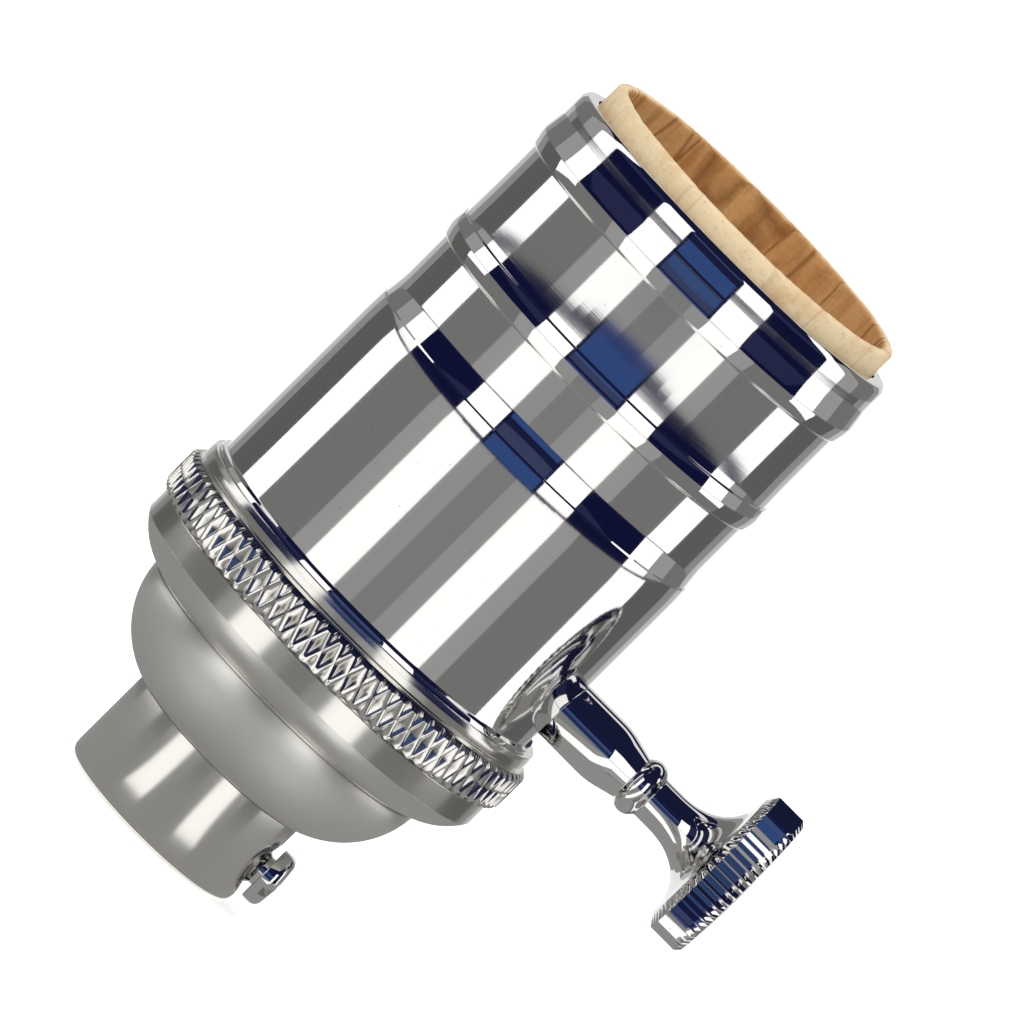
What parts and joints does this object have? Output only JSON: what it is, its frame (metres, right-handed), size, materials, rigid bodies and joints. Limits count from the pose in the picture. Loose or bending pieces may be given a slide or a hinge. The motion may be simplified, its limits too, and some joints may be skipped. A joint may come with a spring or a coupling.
{
  "type": "rotary knob lamp socket",
  "caption": "Nickel-plated lamp socket with a turned cap, diamond-knurled rim, beaded shell, fibre liner and a trumpet-shaped turn knob.",
  "frame": {"origin": "centre of the neck's lower face, on the axis of the pipe thread", "axes": "+Z along the socket's axis from the neck to the lamp, +X along the spindle out to the knob"},
  "size_m": [0.0564, 0.0376, 0.07],
  "materials": {
    "polished_nickel": "polished nickel plate on brass",
    "satin_nickel": "satin nickel plate on turned brass",
    "fibre": "rolled fibreboard, uneven rim",
    "phenolic": "moulded phenolic",
    "brass": "rolled and turned brass",
    "tinned_brass": "tinned brass",
    "bronze": "spring bronze strip",
    "steel": "zinc-plated steel"
  },
  "bodies": {
    "socket": {"cap": "satin_nickel", "outer_shell": "polished_nickel", "insulating_liner": "fibre", "cap_insulator": "fibre", "switch_base": "phenolic", "switch_cover": "phenolic", "screw_shell": "brass", "assembly_rivets": "brass", "hot_terminal": "brass", "neutral_terminal": "tinned_brass", "hot_spring": "bronze", "load_spring": "bronze", "centre_contact": "brass", "centre_rivet": "brass", "shaft_bushing": "polished_nickel", "index_spring": "steel"},
    "knob": {"turn_knob": "polished_nickel", "knob_shaft": "steel", "switch_rotor": "phenolic", "rotor_contact": "brass", "shaft_clip": "steel"},
    "set_screw": {"set_screw": "satin_nickel"},
    "hot_screw": {"hot_screw": "brass"},
    "neutral_screw": {"neutral_screw": "tinned_brass"}
  },
  "joints": [
    {"name": "knob_turn", "type": "hinge", "parent": "socket", "child": "knob", "pos_m": [0, 0, 0.0305], "axis": [1, 0, 0], "continuous": true},
    {"name": "set_screw_travel", "type": "slide", "parent": "socket", "child": "set_screw", "axis": [1, 0, 0], "range_m": [-0.00035, 0.0025]},
    {"name": "hot_screw_travel", "type": "slide", "parent": "socket", "child": "hot_screw", "axis": [0, -1, 0], "range_m": [-0.00035, 0.0012]},
    {"name": "neutral_screw_travel", "type": "slide", "parent": "socket", "child": "neutral_screw", "axis": [0, 1, 0], "range_m": [-0.00035, 0.0012]}
  ]
}
